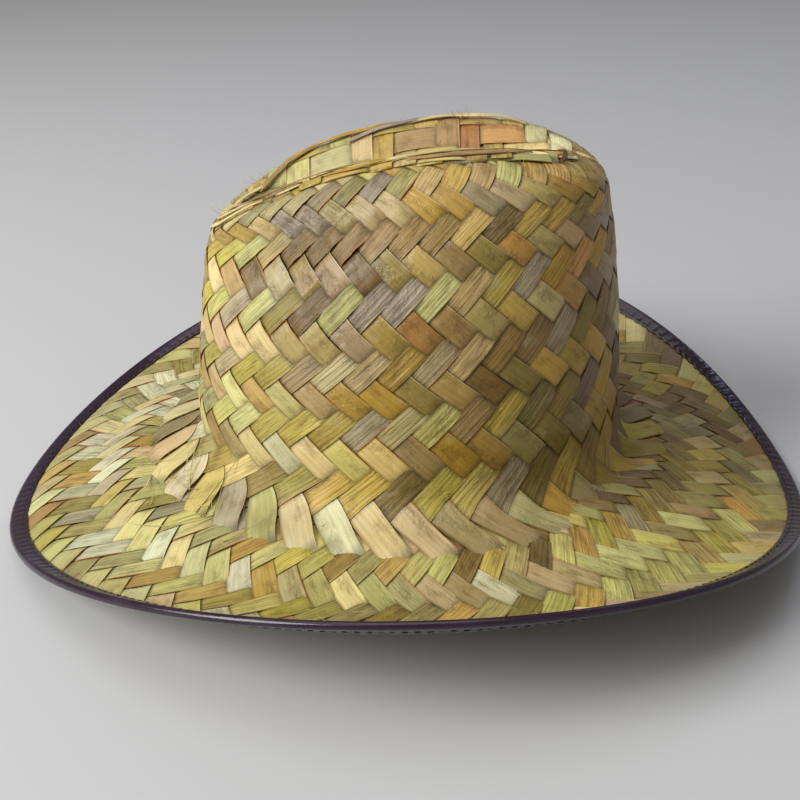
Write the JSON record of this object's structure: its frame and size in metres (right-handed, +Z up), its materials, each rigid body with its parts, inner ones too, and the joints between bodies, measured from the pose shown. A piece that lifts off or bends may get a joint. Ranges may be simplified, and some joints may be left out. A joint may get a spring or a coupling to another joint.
{
  "type": "straw cowboy hat",
  "caption": "Cowboy hat plaited from palm leaf, with a creased and pinched crown, a brim curled up at the sides and a folded edge binding.",
  "frame": {"origin": "on the floor that the hat stands on, under the middle of its bounding box", "axes": "+Z up, +Y from the front of the hat to its back, +X toward the wearer's left"},
  "size_m": [0.3528, 0.3682, 0.1671],
  "materials": {
    "crown_straw": "plaited palm leaf, dry, satin on the smooth side",
    "brim_straw": "plaited palm leaf, dry, satin on the smooth side",
    "binding_tape": "dark vinyl tape, semi-gloss, folded and sewn"
  },
  "bodies": {
    "root": {"crown": "crown_straw", "brim": "brim_straw", "edge_binding": "binding_tape"}
  },
  "joints": []
}
